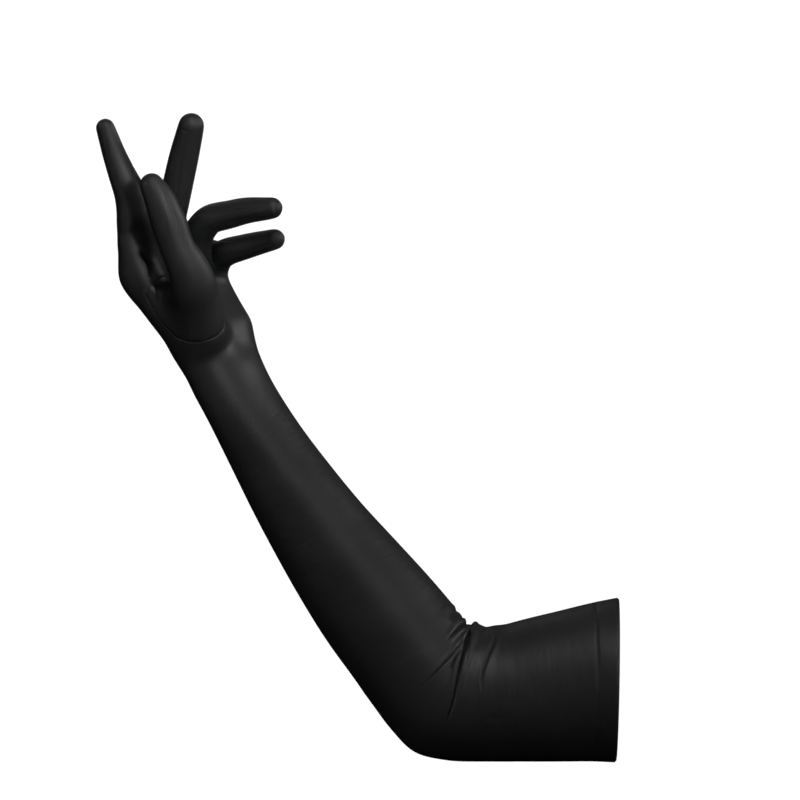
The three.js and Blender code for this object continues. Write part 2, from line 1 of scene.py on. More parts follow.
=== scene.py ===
"""A long evening glove of black stretch satin for the left hand, in the shape it has on a bent arm.

The cloth is one smooth surface worked out from named sizes: a sleeve, a palm stretched over rounded
forms, four fingers and a set-in thumb. It is then seamed, creased and cut into its pieces. The tables
are in millimetres and degrees, and the pieces are made in metres.
"""
import math
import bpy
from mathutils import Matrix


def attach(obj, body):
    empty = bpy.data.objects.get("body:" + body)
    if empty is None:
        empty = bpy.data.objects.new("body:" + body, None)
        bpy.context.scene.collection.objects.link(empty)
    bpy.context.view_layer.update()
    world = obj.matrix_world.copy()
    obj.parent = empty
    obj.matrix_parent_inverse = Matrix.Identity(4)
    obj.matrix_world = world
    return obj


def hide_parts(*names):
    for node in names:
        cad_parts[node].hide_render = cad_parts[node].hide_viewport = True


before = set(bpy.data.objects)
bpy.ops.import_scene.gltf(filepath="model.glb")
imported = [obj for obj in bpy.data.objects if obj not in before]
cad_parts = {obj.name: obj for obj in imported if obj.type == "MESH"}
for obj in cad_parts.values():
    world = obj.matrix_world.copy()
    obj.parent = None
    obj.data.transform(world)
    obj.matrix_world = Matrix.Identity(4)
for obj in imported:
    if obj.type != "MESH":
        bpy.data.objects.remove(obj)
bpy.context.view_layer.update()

from types import SimpleNamespace

import bpy
import numpy as np
from mathutils import kdtree

MM = 0.001

# Middle of the picture, in metres
MIDDLE = (-0.12706, 0.0, 0.1647)


def table(columns, *rows):
    """Rows of values with named columns."""
    return [SimpleNamespace(**dict(zip(columns.split(), row))) for row in rows]


# Sizes of the cloth and its seams
CLOTH = 0.9
HEM_DEPTH = 11
HEM_PROUD = 0.04
HEM_THICK = 2.0
SUBDIVISIONS = 2
LARGEST_SHIFT = 0.7
EDGE_BULGE = 0.15
HEM_BULGE = 0.9
SEAM_STEP = 0.8
SIDE_SEAM_STEP = 4.0
SIDE_SEAM = SimpleNamespace(elbow_turn=95, wrist_turn=180, turns_from=120)

# Place of the hand
WRIST = np.array([-235.9, 0, 192.9])
HAND_RISE = 122
PALM_TURN = 35

# How finely the cloth is divided before it is smoothed
FINGER_COLUMNS = 4
SIDES = 36
ULNAR_EDGE = 18
FINGER_SIDES = 12
STRIP_ANGLE = 34
STRIP_END_ANGLE = 15
METACARPAL_ROWS = 9
KNUCKLE_ROWS = 3
FINGER_RINGS = 9
THUMB_RINGS = 9
THUMB_ROOT_RINGS = 3
THUMB_FREE_FROM = 0.26
THUMB_ROOT_LENGTH = 18
THUMB_ROOT_SPREAD = 1.6
CAP_TILTS = (32, 62)
OPENING_COLUMNS = 6
OPENING_FIRST_COLUMN = 0
OPENING_ROWS = (4, 8)

# How the cloth is stretched over the palm
ROLL_FROM = 20
ROLL_REACH = 20
WEB_BACK = 6
WEB_RADIUS = 5.5
FINGER_ROOT_RADIUS = 10
FINGER_ROOT_REACH = 14
PALM_SHARE = 0.62
BLEND = 9
RELAX_ROUNDS = 24
PROBE = 0.05
FAR_AWAY = 1000.0
LEAST_STEEPNESS = 0.25

# Sections of the sleeve, from the opening to the wrist
SLEEVE = table(
    "name x z lean palm thumb turn",
    ("opening", 0, 0, 89, 47.5, 44, 0),
    ("upper_arm_low", -15, -1.4, 91, 45.6, 42.5, 0),
    ("upper_arm", -30, -3.4, 92, 43.7, 41, 0),
    ("above_elbow", -50, -5.9, 93, 41.3, 39, 0),
    ("elbow_start", -68, -8, 93, 39.2, 37.5, 0),
    ("crease", -83, -7.5, 90, 39.6, 37, 0),
    ("crease_end", -92.6, -7, 78, 40, 37, 0),
    ("elbow_point", -102, -4.8, 66, 40.1, 36.5, 0),
    ("elbow_round", -109.2, 1.9, 54, 37.8, 36, 0),
    ("below_elbow", -114.8, 9.3, 42, 36.3, 35.5, 0),
    ("forearm_top", -120.1, 16.6, 31, 36.1, 35, 0),
    ("forearm_widest", -139.1, 40.9, 29.7, 34.9, 33.5, 0),
    ("forearm_upper", -157.4, 65, 29.7, 32.1, 31.5, 7),
    ("forearm_middle", -175.2, 89.4, 29.7, 28.5, 29, 14),
    ("forearm_lower", -191.8, 114.4, 29.7, 25.2, 27, 21),
    ("above_wrist", -207.5, 140, 29.7, 21.5, 26, 28),
    ("wrist_narrow", -222.2, 166.2, 30, 18.4, 26.3, 33),
    ("wrist", -228.9, 179.6, 31, 18.5, 26.8, 35),
)
SLEEVE_SPANS = table(
    "name rings length",
    ("hem", 2, HEM_DEPTH),
    ("upper_arm", 5, 50),
    ("elbow", 32, 70),
    ("forearm", 18, math.inf),
)

# Fingers: the knuckle in hand axes (distal, palmar, radial), the three joints to the middle of the tip
FINGERS = table(
    "name knuckle lengths bends sways radii web roll",
    ("index", (62, 2.2, 24.5), (47, 27, 16.5), (31.7, 15.8, 19.3), (2, 4, 4), (9.5, 8.6, 6, 4.7), 22, 10),
    ("middle", (62.3, 2.9, 4), (42.5, 29, 20), (53.7, 51.2, 52), (2, 0, 0), (9.5, 8.2, 7.8, 6.8), 21, 24),
    ("ring", (57.5, 2.5, -15), (40.5, 26, 18.6), (76, 105.5, 113), (9.5, 0, 0), (9, 8, 6.9, 5.5), 20, 36),
    ("little", (48, 2.2, -32), (33, 18.5, 14.8), (94, 104.5, 106), (21, 0, 0), (8.4, 7.2, 6.2, 5.2), 18, 58),
)
THUMB = table(
    "name at radius",
    ("root", (14, 14, 18), 15),
    ("thenar", (31, 28.5, 27), 14.3),
    ("knuckle", (48, 40.6, 34.4), 11.4),
    ("shaft", (61.8, 44, 37.3), 9.3),
    ("joint", (78, 49.4, 38.1), 9.4),
    ("pad", (91, 52.7, 38.9), 8.2),
    ("tip", (100.2, 53.9, 39.9), 6.2),
)
PALM_FORMS = table(
    "name start end radii",
    ("wrist_thumb_side", (-20, 0, 8.5), (6, 1, 9), (17.4, 15.2)),
    ("wrist_little_side", (-20, 0, -8.5), (6, 1, -9), (17.4, 16)),
    ("index_ray", (6, 0.5, 12), (60, 2.2, 25), (12.9, 11.8)),
    ("middle_ray", (6, 1, 3), (61, 2.9, 4), (13, 10.8)),
    ("ring_ray", (6, 1, -6), (56, 2.5, -15), (13, 10.4)),
    ("little_ray", (6, 2, -13), (47, 2.2, -30.5), (12.5, 8.5)),
    ("heel", (-5, 3.4, -15), (32, 4, -24), (13.6, 9.5)),
    ("thenar", (14, 13, 17), (48, 40.6, 34.4), (14, 11)),
    ("thumb_web", (30, 8, 22), (44, 26, 30), (8, 6)),
)

# Creases in the cloth, as (x, z) places seen from the thumb side, with a half width and a depth
CREASES = table(
    "name path width depth far",
    ("forearm_pucker", ((-91.8, 40), (-95, 39.6), (-98.5, 38.8), (-103, 37.6)), 1.1, 2.2, True),
    ("inner_corner", ((-85.5, 34.8), (-89, 36.2), (-93.5, 36.8), (-98, 36)), 1.1, 2.4, True),
    ("inner_low", ((-85.5, 32.6), (-88.5, 33.2), (-93, 31), (-98.5, 25.5)), 1.2, 2.9, True),
    ("thin", ((-84, 31), (-89.4, 25.5), (-97, 15.5), (-107.6, 4.1), (-115.3, -4)), 0.9, 0.8, False),
    ("short", ((-88.3, 24.5), (-93.2, 16.6), (-97.6, 7.8)), 1.0, 1.2, False),
    ("main", ((-86.5, 26.5), (-90.3, 16.6), (-92.8, 5.9), (-95.7, -9.8), (-99.5, -22)), 1.2, 3.0, True),
    ("beside_main", ((-86, 22), (-90.5, 6), (-93, -7), (-97.6, -20)), 1.0, 0.8, False),
    ("upper_arm", ((-71.2, 24.7), (-75.3, 15.9), (-78.2, 7.8), (-79.5, 0), (-79, -4)), 1.0, 1.1, False),
    ("upper_arm_soft", ((-75.3, 33), (-79, 27), (-81.8, 19.6)), 2.4, 0.8, True),
    ("low_line", ((-74.1, -20.6), (-62.4, -20.6)), 1.4, 0.3, False),
    ("hem_line", ((-21.8, -8.2), (-17.6, -8.2)), 1.4, 0.25, False),
    ("thumb_valley", ((-282, 262), (-277, 250), (-272, 238), (-270, 233)), 4.2, 1.8, False),
    ("web_pucker", ((-279, 249), (-274, 243.5), (-275, 235), (-269.5, 229), (-268, 222.5)), 1.3, 1.3, False),
)

# How a crease narrows and shallows along its path, with a low ridge beside it
CREASE = SimpleNamespace(start_width=1.15, narrowing=0.5, shallowing=0.75, ridge=0.35, ridge_at=1.9)
NEAR_SIDE = (-0.45, 0.1)

# Seams: half width, depth and the height and pitch of the small puckers across them
SEAMS = {
    "hem": SimpleNamespace(width=0.7, depth=0.04, pucker=0.12, pitch=6.5),
    "side": SimpleNamespace(width=0.8, depth=0.45, pucker=0.14, pitch=5.5),
    "thumb": SimpleNamespace(width=0.6, depth=0.08, pucker=0.05, pitch=5),
    "strip": SimpleNamespace(width=0.6, depth=0.08, pucker=0.05, pitch=4.5),
}
STITCHES = {
    "hem": SimpleNamespace(pitch=2.6, length=1.7, radius=0.22),
    "thumb": SimpleNamespace(pitch=2.1, length=1.4, radius=0.2),
}
STITCH_LIFT = 0.1
THREAD_SIDES = 6

# Flat cloth of each piece, in metres
FLATS = table(
    "piece width length area",
    ("glove_body", 0.25, 0.56, 0.078),
    ("thumb", 0.09, 0.13, 0.0062),
    ("fourchette_index_middle", 0.012, 0.105, 0.00095),
    ("fourchette_middle_ring", 0.012, 0.1, 0.00095),
    ("fourchette_ring_little", 0.012, 0.09, 0.0008),
    ("hem_band", 0.0115, 0.27, 0.003),
)
BODY, THUMB_PIECE, FIRST_STRIP, HEM = 0, 1, 2, 5
STRIP_PIECES = range(FIRST_STRIP, HEM)


def column(distances, values):
    """A named column of a table as a smooth function of the distance along it."""
    last = len(values) - 1

    def slope(i):
        before, after = max(i - 1, 0), min(i + 1, last)
        return (values[after] - values[before]) / (distances[after] - distances[before])

    def at(distance):
        i = 0
        while i < last - 1 and distance > distances[i + 1]:
            i += 1
        span = distances[i + 1] - distances[i]
        t = min(max((distance - distances[i]) / span, 0), 1)
        rise = values[i + 1] - values[i]
        a = slope(i) * span - rise
        b = rise - slope(i + 1) * span
        return values[i] + t * rise + t * (1 - t) * (a * (1 - t) + b * t)

    return at


def distances_along(points):
    steps = np.linalg.norm(np.diff(points, axis=0), axis=1)
    return [0.0, *np.cumsum(steps)]


def unit(vector):
    return vector / np.linalg.norm(vector)


def turned(angle):
    return math.cos(angle), math.sin(angle)


def hand_axes():
    """Distal along the hand, palmar out of the palm, and radial to the thumb side."""
    along, up = turned(math.radians(HAND_RISE))
    straight, near = turned(math.radians(PALM_TURN))
    distal = np.array([along, 0, up])
    in_plane = np.array([up, 0, -along])
    to_viewer = np.array([0, -1, 0])
    return np.array([
        distal,
        in_plane * straight + to_viewer * near,
        -in_plane * near + to_viewer * straight,
    ])


HAND = hand_axes()
RADIAL = HAND[2]


def hand_point(place):
    return WRIST + np.array(place) @ HAND


class Cloth:
    """Points, how freely each may move, and faces with their piece and the cloth's own measure."""

    def __init__(self):
        self.points = []
        self.freedom = []
        self.faces = []

    def add_point(self, place, freedom=0.0):
        self.points.append(np.asarray(place, float))
        self.freedom.append(freedom)
        return len(self.points) - 1

    def add_ring(self, places, height, step, freedom=0.0):
        corners = [self.add_point(place, freedom) for place in places]
        return SimpleNamespace(corners=corners, height=height, step=step)

    def add_band(self, low, high, piece_of):
        """Joins two closed rings of the same length with quads."""
        count = len(low.corners)
        for i in range(count):
            k = (i + 1) % count
            left = (i + count // 2) % count - count // 2
            corners = [low.corners[k], low.corners[i], high.corners[i], high.corners[k]]
            measure = [
                ((left + 1) * low.step, low.height),
                (left * low.step, low.height),
                (left * high.step, high.height),
                ((left + 1) * high.step, high.height),
            ]
            piece = piece_of(i)
            if piece is not None:
                self.faces.append((piece, corners, measure))

    def add_tip(self, ring, pole, piece):
        count = len(ring.corners)
        for i in range(count):
            left = (i + count // 2) % count - count // 2
            corners = [ring.corners[(i + 1) % count], ring.corners[i], pole]
            measure = [
                ((left + 1) * ring.step, ring.height),
                (left * ring.step, ring.height),
                ((left + 0.5) * ring.step, ring.height + ring.step),
            ]
            self.faces.append((piece, corners, measure))


def sleeve_sections():
    """The section at a distance from the opening, as a function from an angle to a point."""
    middles = np.array([(row.x, 0, row.z) for row in SLEEVE], float)
    distances = distances_along(middles)
    middle_at = column(distances, middles)
    names = ("lean", "palm", "thumb", "turn")
    value = {name: column(distances, [getattr(row, name) for row in SLEEVE]) for name in names}

    def section(along):
        lean_x, lean_z = turned(math.radians(value["lean"](along)))
        straight, near = turned(math.radians(value["turn"](along)))
        inner = np.array([lean_x, 0, lean_z])
        to_viewer = np.array([0, -1, 0])
        palmar = inner * straight + to_viewer * near
        radial = -inner * near + to_viewer * straight
        middle = middle_at(along)
        palm = value["palm"](along)
        thumb = value["thumb"](along)
        step = math.pi * (palm + thumb) / SIDES

        def point(angle):
            across, over = turned(angle)
            return middle + radial * thumb * across - palmar * palm * over

        return point, step

    return section, distances[-1]


def build_sleeve(cloth):
    """Rings from the opening to the wrist. It gives the last one."""
    section, length = sleeve_sections()
    angles = [2 * math.pi * side / SIDES for side in range(SIDES)]

    def ring_at(along):
        point, step = section(along)
        return cloth.add_ring([point(angle) for angle in angles], along, step)

    along = 0.0
    previous = ring_at(along)
    for span in SLEEVE_SPANS:
        end = min(along + span.length, length)
        step = (end - along) / span.rings
        piece = HEM if span.name == "hem" else BODY
        for _ in range(span.rings):
            along += step
            ring = ring_at(along)
            cloth.add_band(previous, ring, lambda side: piece)
            previous = ring
    return previous


class Limb:
    """A tube along joints, with a smooth middle line and radius, and axes that follow its bend."""

    def __init__(self, joints, radii, roll=0.0):
        stations = [joints[0]]
        sizes = [radii[0]]
        for i in range(1, len(joints)):
            stations += [(joints[i - 1] + joints[i]) / 2, joints[i]]
            sizes += [(radii[i - 1] + radii[i]) / 2, radii[i]]
        distances = distances_along(stations)
        self.middle = column(distances, stations)
        self.radius = column(distances, sizes)
        self.length = distances[-1]
        self.knuckle = distances[2]
        self.roll = roll

    def axes(self, along):
        low, high = max(along - 1, 0), min(along + 1, self.length)
        forward = unit(self.middle(high) - self.middle(low))
        side = unit(RADIAL - forward * (RADIAL @ forward))
        return forward, side, np.cross(forward, side)

    def point(self, along, unrolled, tilt=0.0):
        """A point on the tube, the angle running from the thumb side over the back."""
        forward, side, palmar = self.axes(along)
        past = (along - self.knuckle - ROLL_FROM) / ROLL_REACH
        across, over = turned(unrolled + self.roll * math.exp(-past * past))
        out, ahead = turned(tilt)
        around = side * across - palmar * over
        return self.middle(along) + self.radius(along) * (forward * ahead + around * out)

    def pole(self):
        return self.middle(self.length) + self.axes(self.length)[0] * self.radius(self.length)


def finger_limb(finger):
    joints = [hand_point(np.array(finger.knuckle) * PALM_SHARE), hand_point(finger.knuckle)]
    for length, bend, sway in zip(finger.lengths, finger.bends, finger.sways):
        level, aside = turned(math.radians(sway))
        ahead, down = turned(math.radians(bend))
        direction = np.array([level * ahead, level * down, aside]) @ HAND
        joints.append(joints[-1] + direction * length)
    return Limb(joints, (finger.radii[0], *finger.radii), math.radians(finger.roll))


def finger_angle(side, to_tip=0.0):
    strip = STRIP_ANGLE + (STRIP_END_ANGLE - STRIP_ANGLE) * to_tip**2
    half = side % 6
    turn = 180 if side >= 6 else 0
    column_angle = (180 - 2 * strip) / FINGER_COLUMNS
    return math.radians(turn + (0 if half == 0 else strip + (half - 1) * column_angle))


def finger_slots(i):
    """For each side of a finger, its column in the ring round the hand, or the web beside it."""
    first = i * FINGER_COLUMNS
    slots = []
    for side in range(FINGER_SIDES):
        if side == 0:
            slots.append(("ring", 0) if i == 0 else ("web", i - 1))
        elif side < 6:
            slots.append(("ring", first + side))
        elif side == 6:
            slots.append(("ring", ULNAR_EDGE) if i == 3 else ("web", i))
        else:
            slots.append(("ring", SIDES - 12 - first + side))
    return slots


def knuckle_ring(limbs, alongs):
    """The ring over all four fingers and the three webs, with neighbours' shared points averaged."""
    gathered = {("ring", side): [] for side in range(SIDES)}
    gathered.update({("web", i): [] for i in range(3)})
    for i, (limb, along) in enumerate(zip(limbs, alongs)):
        for side, slot in enumerate(finger_slots(i)):
            gathered[slot].append(limb.point(along, finger_angle(side)))
    average = {slot: np.mean(places, axis=0) for slot, places in gathered.items()}
    return [average["ring", side] for side in range(SIDES)], [average["web", i] for i in range(3)]


def in_thumb_opening(row, side):
    across = (OPENING_FIRST_COLUMN - side) % SIDES
    return OPENING_ROWS[0] <= row < OPENING_ROWS[1] and 1 <= across <= OPENING_COLUMNS


def build_palm(cloth, wrist, limbs):
    """The palm and back of the hand, from the wrist's ring to the roots of the fingers."""
    knuckles, _ = knuckle_ring(limbs, [limb.knuckle for limb in limbs])
    root_alongs = [limb.knuckle + finger.web for limb, finger in zip(limbs, FINGERS)]
    roots, webs = knuckle_ring(limbs, root_alongs)
    starts = [cloth.points[corner] for corner in wrist.corners]
    rings = [wrist]
    for row in range(1, METACARPAL_ROWS + KNUCKLE_ROWS + 1):
        if row <= METACARPAL_ROWS:
            low, high, t = starts, knuckles, row / METACARPAL_ROWS
        else:
            low, high, t = knuckles, roots, (row - METACARPAL_ROWS) / KNUCKLE_ROWS
        places = [a + (b - a) * t for a, b in zip(low, high)]
        girth = sum(np.linalg.norm(places[i] - places[i - 1]) for i in range(SIDES))
        below = [cloth.points[corner] for corner in rings[-1].corners]
        rise = np.linalg.norm(np.mean(places, axis=0) - np.mean(below, axis=0))
        ring = cloth.add_ring(places, rings[-1].height + rise, girth / SIDES, min(1, row / 3))
        cloth.add_band(rings[-1], ring, lambda side: None if in_thumb_opening(row - 1, side) else BODY)
        rings.append(ring)
    return rings, [cloth.add_point(place, 1) for place in webs]


def finger_piece(i, side):
    """The strips between fingers are the two columns beside each web."""
    if side in (0, 11) and i > 0:
        return FIRST_STRIP + i - 1
    if side in (5, 6) and i < 3:
        return FIRST_STRIP + i
    return BODY


def build_finger(cloth, i, limb, last, webs):
    root = [last.corners[at] if kind == "ring" else webs[at] for kind, at in finger_slots(i)]
    web = limb.knuckle + FINGERS[i].web
    previous = SimpleNamespace(corners=root, height=last.height, step=2 * math.pi * limb.radius(web) / 12)
    stations = [(web + (limb.length - web) * ring / FINGER_RINGS, 0) for ring in range(1, FINGER_RINGS + 1)]
    stations += [(limb.length, math.radians(tilt)) for tilt in CAP_TILTS]
    for number, (along, tilt) in enumerate(stations):
        to_tip = min(1, (number + 1) / FINGER_RINGS)
        places = [limb.point(along, finger_angle(side, to_tip), tilt) for side in range(FINGER_SIDES)]
        height = last.height + along - web + limb.radius(along) * math.sin(tilt)
        step = 2 * math.pi * limb.radius(along) * math.cos(tilt) / FINGER_SIDES
        ring = cloth.add_ring(places, height, step, 0.3 if number == 0 else 0)
        cap = tilt > 0
        cloth.add_band(previous, ring, lambda side: BODY if cap else finger_piece(i, side))
        previous = ring
    cloth.add_tip(previous, cloth.add_point(limb.pole()), BODY)


def thumb_opening_loop(rings):
    """The corners of the thumb's opening, in order round it."""
    low, high = OPENING_ROWS

    def corner(row, across):
        return rings[row].corners[(OPENING_FIRST_COLUMN - across) % SIDES]

    loop = [corner(low, across) for across in range(OPENING_COLUMNS)]
    loop += [corner(row, OPENING_COLUMNS) for row in range(low, high)]
    loop += [corner(high, across) for across in range(OPENING_COLUMNS, 0, -1)]
    loop += [corner(row, 0) for row in range(high, low, -1)]
    return loop[::-1]


def build_thumb(cloth, rings):
    limb = Limb([hand_point(joint.at) for joint in THUMB], [joint.radius for joint in THUMB])
    loop = thumb_opening_loop(rings)
    count = len(loop)
    start = limb.length * THUMB_FREE_FROM
    _, side, palmar = limb.axes(start)
    edge = [cloth.points[corner] for corner in loop]
    turns = 0
    for k, place in enumerate(edge):
        arm = place - limb.middle(start)
        angle = math.atan2(-(arm @ palmar), arm @ side) - 2 * math.pi * k / count
        turns += complex(*turned(angle))
    angles = [np.angle(turns) + 2 * math.pi * k / count for k in range(count)]
    step = 2 * math.pi * limb.radius(start) / count
    previous = SimpleNamespace(corners=loop, height=0, step=step * THUMB_ROOT_SPREAD)
    free_edge = [limb.point(start, angle) for angle in angles]
    for number in range(1, THUMB_ROOT_RINGS + 1):
        t = number / (THUMB_ROOT_RINGS + 1)
        places = [a + (b - a) * t for a, b in zip(edge, free_edge)]
        spread = THUMB_ROOT_SPREAD + (1 - THUMB_ROOT_SPREAD) * t
        ring = cloth.add_ring(places, THUMB_ROOT_LENGTH * t, step * spread, 1)
        cloth.add_band(previous, ring, lambda side: THUMB_PIECE)
        previous = ring
    stations = [(start + (limb.length - start) * n / THUMB_RINGS, 0) for n in range(THUMB_RINGS + 1)]
    stations += [(limb.length, math.radians(tilt)) for tilt in CAP_TILTS]
    for number, (along, tilt) in enumerate(stations):
        places = [limb.point(along, angle, tilt) for angle in angles]
        height = THUMB_ROOT_LENGTH + along - start + limb.radius(along) * math.sin(tilt)
        step = 2 * math.pi * limb.radius(along) * math.cos(tilt) / count
        ring = cloth.add_ring(places, height, step, 0.7 if number == 0 else 0)
        cloth.add_band(previous, ring, lambda side: THUMB_PIECE)
        previous = ring
    cloth.add_tip(previous, cloth.add_point(limb.pole()), THUMB_PIECE)


def palm_forms(limbs):
    """The rounded forms that the palm's cloth lies on: ends and end radii."""
    forms = [(hand_point(form.start), hand_point(form.end), form.radii) for form in PALM_FORMS]
    for limb, finger in zip(limbs, FINGERS):
        end = limb.knuckle + finger.web + FINGER_ROOT_REACH
        radii = (FINGER_ROOT_RADIUS, limb.radius(end))
        forms.append((limb.middle(limb.knuckle), limb.middle(end), radii))
    webs = [limb.middle(limb.knuckle + finger.web - WEB_BACK) for limb, finger in zip(limbs, FINGERS)]
    forms += [(webs[i], webs[i + 1], (WEB_RADIUS, WEB_RADIUS)) for i in range(3)]
    return forms


def form_distance(points, forms):
    nearest = np.full(len(points), FAR_AWAY)
    for start, end, radii in forms:
        axis = end - start
        arm = points - start
        t = np.clip(arm @ axis / (axis @ axis), 0, 1)
        radius = radii[0] + (radii[1] - radii[0]) * t
        distance = np.linalg.norm(arm - t[:, None] * axis, axis=1) - radius
        blend = np.maximum(BLEND - np.abs(nearest - distance), 0) / BLEND
        nearest = np.minimum(nearest, distance) - blend**2 * BLEND / 4
    return nearest


def onto_forms(points, forms):
    for _ in range(2):
        here = form_distance(points, forms)
        slope = np.stack(
            [(form_distance(points + PROBE * axis, forms) - here) / PROBE for axis in np.eye(3)], axis=1
        )
        steepness = np.maximum((slope**2).sum(axis=1), LEAST_STEEPNESS)
        points = points - slope * (here / steepness)[:, None]
    return points


def relax(cloth, forms):
    """Evens out the free points as stretched cloth does, and keeps them on the rounded forms."""
    pairs = set()
    for _, corners, _ in cloth.faces:
        for a, b in zip(corners, corners[1:] + corners[:1]):
            pairs.update(((a, b), (b, a)))
    ends = np.array(sorted(pairs))
    homes = np.array(cloth.points)
    free = np.array(cloth.freedom)
    moving = np.flatnonzero(free)
    counts = np.bincount(ends[:, 0], minlength=len(homes))[:, None]
    points = homes.copy()
    for _ in range(RELAX_ROUNDS):
        total = np.zeros_like(points)
        np.add.at(total, ends[:, 0], points[ends[:, 1]])
        average = total / counts
        target = onto_forms((points[moving] + average[moving]) / 2, forms)
        points[moving] = homes[moving] + (target - homes[moving]) * free[moving, None]
    return points


def subdivided(points, cloth, levels):
    """The smooth surface over the cloth's points, as arrays."""
    mesh = bpy.data.meshes.new("cloth")
    mesh.from_pydata([tuple(p) for p in points], [], [corners for _, corners, _ in cloth.faces])
    pieces = mesh.attributes.new("piece", "INT", "FACE")
    pieces.data.foreach_set("value", [piece for piece, _, _ in cloth.faces])
    measures = mesh.uv_layers.new(name="measure")
    flat = [value for _, _, measure in cloth.faces for corner in measure for value in corner]
    measures.data.foreach_set("uv", flat)
    carrier = bpy.data.objects.new("cloth", mesh)
    bpy.context.scene.collection.objects.link(carrier)
    smoothing = carrier.modifiers.new("smooth", "SUBSURF")
    smoothing.levels = levels
    smoothing.render_levels = levels
    evaluated = carrier.evaluated_get(bpy.context.evaluated_depsgraph_get())
    fine = evaluated.to_mesh()
    count = len(fine.polygons)
    places = np.zeros(len(fine.vertices) * 3, np.float32)
    corners = np.zeros(count * 4, np.int32)
    uvs = np.zeros(count * 8, np.float32)
    owner = np.zeros(count, np.int32)
    fine.vertices.foreach_get("co", places)
    fine.loops.foreach_get("vertex_index", corners)
    fine.uv_layers["measure"].data.foreach_get("uv", uvs)
    fine.attributes["piece"].data.foreach_get("value", owner)
    evaluated.to_mesh_clear()
    bpy.data.objects.remove(carrier)
    bpy.data.meshes.remove(mesh)
    return SimpleNamespace(
        places=places.reshape(-1, 3).astype(float),
        quads=corners.reshape(-1, 4),
        measure=uvs.reshape(-1, 4, 2),
        owner=owner,
    )


def normals_of(places, quads):
    corners = places[quads]
    face = np.cross(corners[:, 2] - corners[:, 0], corners[:, 3] - corners[:, 1])
    total = np.zeros_like(places)
    for i in range(4):
        np.add.at(total, quads[:, i], face)
    return total / np.maximum(np.linalg.norm(total, axis=1), 1e-9)[:, None]


def smooth_step(low, high, values):
    t = np.clip((values - low) / (high - low), 0, 1)
    return t * t * (3 - 2 * t)


def path_distance(places, path):
    """How far each place is in side view from a path of (x, z) places, and how far along it."""
    flat = places[:, [0, 2]]
    path = np.array(path)
    reached = np.array(distances_along(path))
    best = np.full(len(flat), np.inf)
    share = np.zeros(len(flat))
    for i, start in enumerate(path[:-1]):
        way = path[i + 1] - start
        t = np.clip((flat - start) @ way / (way @ way), 0, 1)
        distance = np.linalg.norm(flat - start - t[:, None] * way, axis=1)
        closer = distance < best
        best[closer] = distance[closer]
        share[closer] = ((reached[i] + t * np.linalg.norm(way)) / reached[-1])[closer]
    return best, share


def crease(surface):
    """Sinks the creases, each with a low ridge beside it where the cloth is pushed up."""
    normals = normals_of(surface.places, surface.quads)
    near = smooth_step(*NEAR_SIDE, -normals[:, 1])
    sink = np.zeros(len(surface.places))
    for row in CREASES:
        distance, share = path_distance(surface.places, row.path)
        distance /= row.width * (CREASE.start_width - CREASE.narrowing * share)
        depth = row.depth * (1 - CREASE.shallowing * share**2)
        ridge = CREASE.ridge * np.exp(-((distance - CREASE.ridge_at) ** 2))
        sink += depth * (np.exp(-distance**2) - ridge) * (1 if row.far else near)
    surface.places -= normals * sink[:, None]


def edges_between(surface, piece):
    """The edges that a piece shares with the rest, as pairs of points."""
    mine = surface.quads[surface.owner == piece]
    others = surface.quads[surface.owner != piece]

    def sides(quads):
        return {tuple(sorted(pair)) for q in quads.tolist() for pair in zip(q, q[1:] + q[:1])}

    return sides(mine) & sides(others)


def walk(edges):
    """Edges in order, as closed or open lines of points."""
    beside = {}
    for a, b in edges:
        beside.setdefault(a, []).append(b)
        beside.setdefault(b, []).append(a)
    lines = []
    left = set(edges)
    ends = sorted(p for p, others in beside.items() if len(others) == 1) + sorted(beside)
    for start in ends:
        line = [start]
        while True:
            here = line[-1]
            onward = [p for p in beside[here] if tuple(sorted((here, p))) in left]
            if not onward:
                break
            left.discard(tuple(sorted((here, onward[0]))))
            line.append(onward[0])
        if len(line) > 1:
            lines.append(line)
    return lines


def nearest_on(line, places, reach):
    """For each place within reach of a line, how far its nearest point is, and that point's number."""
    tree = kdtree.KDTree(len(line))
    for i, place in enumerate(line):
        tree.insert(place, i)
    tree.balance()
    distance = np.full(len(places), np.inf)
    number = np.zeros(len(places))
    low, high = line.min(axis=0) - reach, line.max(axis=0) + reach
    for i in np.flatnonzero(((places > low) & (places < high)).all(axis=1)):
        _, nearest, apart = tree.find(places[i])
        if apart < reach:
            distance[i] = apart
            number[i] = nearest
    return distance, number


def finer(line, step):
    distances = distances_along(line)
    wanted = np.arange(0, distances[-1], step)
    return np.stack([np.interp(wanted, distances, line[:, axis]) for axis in range(3)], axis=1)


def groove(surface, line, seam):
    """Sinks a seam's line into the cloth, with small puckers across it."""
    distance, number = nearest_on(finer(line, SEAM_STEP), surface.places, 6 * seam.width)
    normals = normals_of(surface.places, surface.quads)
    along = number * SEAM_STEP / seam.pitch
    ripple = np.sin(along * 2 * np.pi + 1.7 * np.sin(along * 0.9))
    sink = seam.depth * np.exp(-((distance / seam.width) ** 2))
    sink += seam.pucker * ripple * np.exp(-((distance / (3 * seam.width)) ** 2))
    surface.places -= normals * sink[:, None]


def new_piece(name, places, faces):
    """A smooth mesh as an object of the scene."""
    mesh = bpy.data.meshes.new(name)
    mesh.from_pydata(places, [], faces)
    mesh.polygons.foreach_set("use_smooth", [True] * len(faces))
    piece = bpy.data.objects.new(name, mesh)
    bpy.context.scene.collection.objects.link(piece)
    return piece


